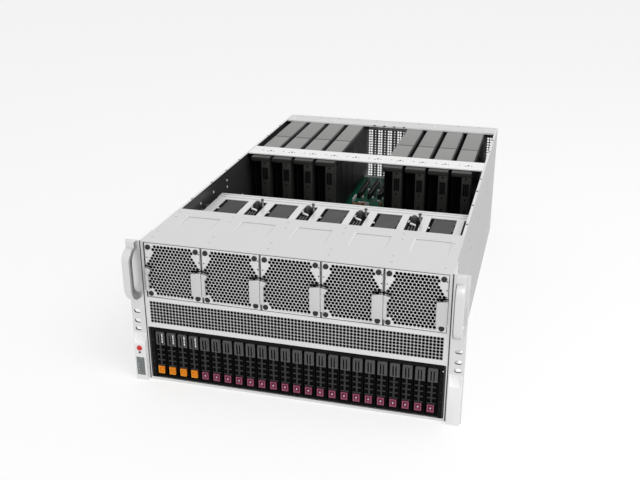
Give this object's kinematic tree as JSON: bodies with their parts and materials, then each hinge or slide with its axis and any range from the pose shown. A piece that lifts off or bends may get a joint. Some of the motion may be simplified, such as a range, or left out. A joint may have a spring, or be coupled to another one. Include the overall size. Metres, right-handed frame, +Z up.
{
  "type": "rack server",
  "caption": "Rack-mounted server with front hot-swap fans and drive carriers, upright accelerator cards behind, pull-out power supplies and an open top.",
  "frame": {"origin": "centre of the chassis base, on its underside", "axes": "+Y from the front to the rear, +X to the right seen from the front, +Z up"},
  "size_m": [0.4826, 0.7845, 0.2225],
  "materials": {
    "zinc_steel": "zinc-plated sheet, satin",
    "cage_black": "black satin",
    "board_green": "solder-masked board",
    "ear_alloy": "satin",
    "card_shroud": "matte",
    "carrier_black": "matte",
    "fan_frame": "plated guard on a moulded frame",
    "rotor_black": "matte",
    "supply_case": "plated case, satin",
    "button_red": "gloss",
    "button_black": "matte"
  },
  "bodies": {
    "chassis": {"base_pan": "zinc_steel", "side_wall_left": "zinc_steel", "side_wall_right": "zinc_steel", "rear_panel": "zinc_steel", "front_cover": "zinc_steel", "fan_bay": "zinc_steel", "mid_bar": "zinc_steel", "front_grille": "zinc_steel", "drive_cage": "cage_black", "gpu_board": "board_green", "rack_ear_left": "ear_alloy", "rack_ear_right": "ear_alloy", "gpu_card_1": "card_shroud", "gpu_card_2": "card_shroud", "gpu_card_3": "card_shroud", "gpu_card_4": "card_shroud", "gpu_card_5": "card_shroud", "gpu_card_6": "card_shroud", "gpu_card_7": "card_shroud", "gpu_card_8": "card_shroud"},
    "drive_carrier_01": {"drive_carrier_01": "carrier_black"},
    "drive_carrier_02": {"drive_carrier_02": "carrier_black"},
    "drive_carrier_03": {"drive_carrier_03": "carrier_black"},
    "drive_carrier_04": {"drive_carrier_04": "carrier_black"},
    "drive_carrier_05": {"drive_carrier_05": "carrier_black"},
    "drive_carrier_06": {"drive_carrier_06": "carrier_black"},
    "drive_carrier_07": {"drive_carrier_07": "carrier_black"},
    "drive_carrier_08": {"drive_carrier_08": "carrier_black"},
    "drive_carrier_09": {"drive_carrier_09": "carrier_black"},
    "drive_carrier_10": {"drive_carrier_10": "carrier_black"},
    "drive_carrier_11": {"drive_carrier_11": "carrier_black"},
    "drive_carrier_12": {"drive_carrier_12": "carrier_black"},
    "drive_carrier_13": {"drive_carrier_13": "carrier_black"},
    "drive_carrier_14": {"drive_carrier_14": "carrier_black"},
    "drive_carrier_15": {"drive_carrier_15": "carrier_black"},
    "drive_carrier_16": {"drive_carrier_16": "carrier_black"},
    "drive_carrier_17": {"drive_carrier_17": "carrier_black"},
    "drive_carrier_18": {"drive_carrier_18": "carrier_black"},
    "drive_carrier_19": {"drive_carrier_19": "carrier_black"},
    "drive_carrier_20": {"drive_carrier_20": "carrier_black"},
    "drive_carrier_21": {"drive_carrier_21": "carrier_black"},
    "drive_carrier_22": {"drive_carrier_22": "carrier_black"},
    "drive_carrier_23": {"drive_carrier_23": "carrier_black"},
    "drive_carrier_24": {"drive_carrier_24": "carrier_black"},
    "fan_module_1": {"fan_module_1": "fan_frame"},
    "fan_module_2": {"fan_module_2": "fan_frame"},
    "fan_module_3": {"fan_module_3": "fan_frame"},
    "fan_module_4": {"fan_module_4": "fan_frame"},
    "fan_module_5": {"fan_module_5": "fan_frame"},
    "fan_rotor_1": {"fan_rotor_1": "rotor_black"},
    "fan_rotor_2": {"fan_rotor_2": "rotor_black"},
    "fan_rotor_3": {"fan_rotor_3": "rotor_black"},
    "fan_rotor_4": {"fan_rotor_4": "rotor_black"},
    "fan_rotor_5": {"fan_rotor_5": "rotor_black"},
    "power_supply_1": {"power_supply_1": "supply_case"},
    "power_supply_2": {"power_supply_2": "supply_case"},
    "power_supply_3": {"power_supply_3": "supply_case"},
    "power_supply_4": {"power_supply_4": "supply_case"},
    "id_button": {"id_button": "button_red"},
    "reset_button": {"reset_button": "button_black"}
  },
  "joints": [
    {"name": "drive_carrier_01_slide", "type": "slide", "parent": "chassis", "child": "drive_carrier_01", "axis": [0, -1, 0], "range_m": [0, 0.11]},
    {"name": "drive_carrier_02_slide", "type": "slide", "parent": "chassis", "child": "drive_carrier_02", "axis": [0, -1, 0], "range_m": [0, 0.11]},
    {"name": "drive_carrier_03_slide", "type": "slide", "parent": "chassis", "child": "drive_carrier_03", "axis": [0, -1, 0], "range_m": [0, 0.11]},
    {"name": "drive_carrier_04_slide", "type": "slide", "parent": "chassis", "child": "drive_carrier_04", "axis": [0, -1, 0], "range_m": [0, 0.11]},
    {"name": "drive_carrier_05_slide", "type": "slide", "parent": "chassis", "child": "drive_carrier_05", "axis": [0, -1, 0], "range_m": [0, 0.11]},
    {"name": "drive_carrier_06_slide", "type": "slide", "parent": "chassis", "child": "drive_carrier_06", "axis": [0, -1, 0], "range_m": [0, 0.11]},
    {"name": "drive_carrier_07_slide", "type": "slide", "parent": "chassis", "child": "drive_carrier_07", "axis": [0, -1, 0], "range_m": [0, 0.11]},
    {"name": "drive_carrier_08_slide", "type": "slide", "parent": "chassis", "child": "drive_carrier_08", "axis": [0, -1, 0], "range_m": [0, 0.11]},
    {"name": "drive_carrier_09_slide", "type": "slide", "parent": "chassis", "child": "drive_carrier_09", "axis": [0, -1, 0], "range_m": [0, 0.11]},
    {"name": "drive_carrier_10_slide", "type": "slide", "parent": "chassis", "child": "drive_carrier_10", "axis": [0, -1, 0], "range_m": [0, 0.11]},
    {"name": "drive_carrier_11_slide", "type": "slide", "parent": "chassis", "child": "drive_carrier_11", "axis": [0, -1, 0], "range_m": [0, 0.11]},
    {"name": "drive_carrier_12_slide", "type": "slide", "parent": "chassis", "child": "drive_carrier_12", "axis": [0, -1, 0], "range_m": [0, 0.11]},
    {"name": "drive_carrier_13_slide", "type": "slide", "parent": "chassis", "child": "drive_carrier_13", "axis": [0, -1, 0], "range_m": [0, 0.11]},
    {"name": "drive_carrier_14_slide", "type": "slide", "parent": "chassis", "child": "drive_carrier_14", "axis": [0, -1, 0], "range_m": [0, 0.11]},
    {"name": "drive_carrier_15_slide", "type": "slide", "parent": "chassis", "child": "drive_carrier_15", "axis": [0, -1, 0], "range_m": [0, 0.11]},
    {"name": "drive_carrier_16_slide", "type": "slide", "parent": "chassis", "child": "drive_carrier_16", "axis": [0, -1, 0], "range_m": [0, 0.11]},
    {"name": "drive_carrier_17_slide", "type": "slide", "parent": "chassis", "child": "drive_carrier_17", "axis": [0, -1, 0], "range_m": [0, 0.11]},
    {"name": "drive_carrier_18_slide", "type": "slide", "parent": "chassis", "child": "drive_carrier_18", "axis": [0, -1, 0], "range_m": [0, 0.11]},
    {"name": "drive_carrier_19_slide", "type": "slide", "parent": "chassis", "child": "drive_carrier_19", "axis": [0, -1, 0], "range_m": [0, 0.11]},
    {"name": "drive_carrier_20_slide", "type": "slide", "parent": "chassis", "child": "drive_carrier_20", "axis": [0, -1, 0], "range_m": [0, 0.11]},
    {"name": "drive_carrier_21_slide", "type": "slide", "parent": "chassis", "child": "drive_carrier_21", "axis": [0, -1, 0], "range_m": [0, 0.11]},
    {"name": "drive_carrier_22_slide", "type": "slide", "parent": "chassis", "child": "drive_carrier_22", "axis": [0, -1, 0], "range_m": [0, 0.11]},
    {"name": "drive_carrier_23_slide", "type": "slide", "parent": "chassis", "child": "drive_carrier_23", "axis": [0, -1, 0], "range_m": [0, 0.11]},
    {"name": "drive_carrier_24_slide", "type": "slide", "parent": "chassis", "child": "drive_carrier_24", "axis": [0, -1, 0], "range_m": [0, 0.11]},
    {"name": "fan_module_1_slide", "type": "slide", "parent": "chassis", "child": "fan_module_1", "axis": [0, -1, 0], "range_m": [0, 0.13]},
    {"name": "fan_module_2_slide", "type": "slide", "parent": "chassis", "child": "fan_module_2", "axis": [0, -1, 0], "range_m": [0, 0.13]},
    {"name": "fan_module_3_slide", "type": "slide", "parent": "chassis", "child": "fan_module_3", "axis": [0, -1, 0], "range_m": [0, 0.13]},
    {"name": "fan_module_4_slide", "type": "slide", "parent": "chassis", "child": "fan_module_4", "axis": [0, -1, 0], "range_m": [0, 0.13]},
    {"name": "fan_module_5_slide", "type": "slide", "parent": "chassis", "child": "fan_module_5", "axis": [0, -1, 0], "range_m": [0, 0.13]},
    {"name": "fan_rotor_1_spin", "type": "hinge", "parent": "fan_module_1", "child": "fan_rotor_1", "pos_m": [-0.17184, -0.3435, 0.1788], "axis": [0, 1, 0], "continuous": true},
    {"name": "fan_rotor_2_spin", "type": "hinge", "parent": "fan_module_2", "child": "fan_rotor_2", "pos_m": [-0.08592, -0.3435, 0.1788], "axis": [0, 1, 0], "continuous": true},
    {"name": "fan_rotor_3_spin", "type": "hinge", "parent": "fan_module_3", "child": "fan_rotor_3", "pos_m": [0, -0.3435, 0.1788], "axis": [0, 1, 0], "continuous": true},
    {"name": "fan_rotor_4_spin", "type": "hinge", "parent": "fan_module_4", "child": "fan_rotor_4", "pos_m": [0.08592, -0.3435, 0.1788], "axis": [0, 1, 0], "continuous": true},
    {"name": "fan_rotor_5_spin", "type": "hinge", "parent": "fan_module_5", "child": "fan_rotor_5", "pos_m": [0.17184, -0.3435, 0.1788], "axis": [0, 1, 0], "continuous": true},
    {"name": "power_supply_1_slide", "type": "slide", "parent": "chassis", "child": "power_supply_1", "axis": [0, 1, 0], "range_m": [0, 0.2]},
    {"name": "power_supply_2_slide", "type": "slide", "parent": "chassis", "child": "power_supply_2", "axis": [0, 1, 0], "range_m": [0, 0.2]},
    {"name": "power_supply_3_slide", "type": "slide", "parent": "chassis", "child": "power_supply_3", "axis": [0, 1, 0], "range_m": [0, 0.2]},
    {"name": "power_supply_4_slide", "type": "slide", "parent": "chassis", "child": "power_supply_4", "axis": [0, 1, 0], "range_m": [0, 0.2]},
    {"name": "id_button_press", "type": "slide", "parent": "chassis", "child": "id_button", "axis": [0, 1, 0], "range_m": [0, 0.0008], "stiffness_N_per_m": 400, "springref_m": -0.0005},
    {"name": "reset_button_press", "type": "slide", "parent": "chassis", "child": "reset_button", "axis": [0, 1, 0], "range_m": [0, 0.0008], "stiffness_N_per_m": 400, "springref_m": -0.0005}
  ]
}
